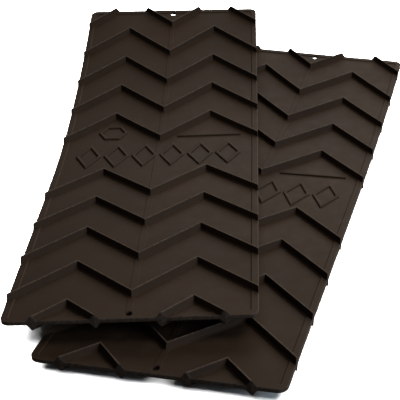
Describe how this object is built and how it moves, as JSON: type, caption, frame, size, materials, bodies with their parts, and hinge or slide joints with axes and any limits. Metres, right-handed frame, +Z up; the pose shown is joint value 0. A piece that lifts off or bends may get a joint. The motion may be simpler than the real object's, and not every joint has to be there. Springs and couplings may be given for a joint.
{
  "type": "tire traction mats",
  "caption": "Pair of dark moulded grip mats with zigzag ridges, one lying across the other, for getting a car's wheels moving on snow, mud or sand.",
  "frame": {"origin": "middle of the bottom of the bounding box, where the lower mat stands on the ground", "axes": "+X across the lower mat, +Y along the lower mat towards the ends that are bent up, +Z up from the ground"},
  "size_m": [0.5618, 0.9714, 0.1079],
  "materials": {
    "mat_rubber": "satin, fine moulded grain"
  },
  "bodies": {
    "lower_mat": {"lower_mat": "mat_rubber"},
    "upper_mat": {"upper_mat": "mat_rubber"}
  },
  "joints": [
    {"name": "upper_mat_lift", "type": "slide", "parent": "lower_mat", "child": "upper_mat", "axis": [0, 0, 1], "range_m": [0, 0.25]}
  ]
}
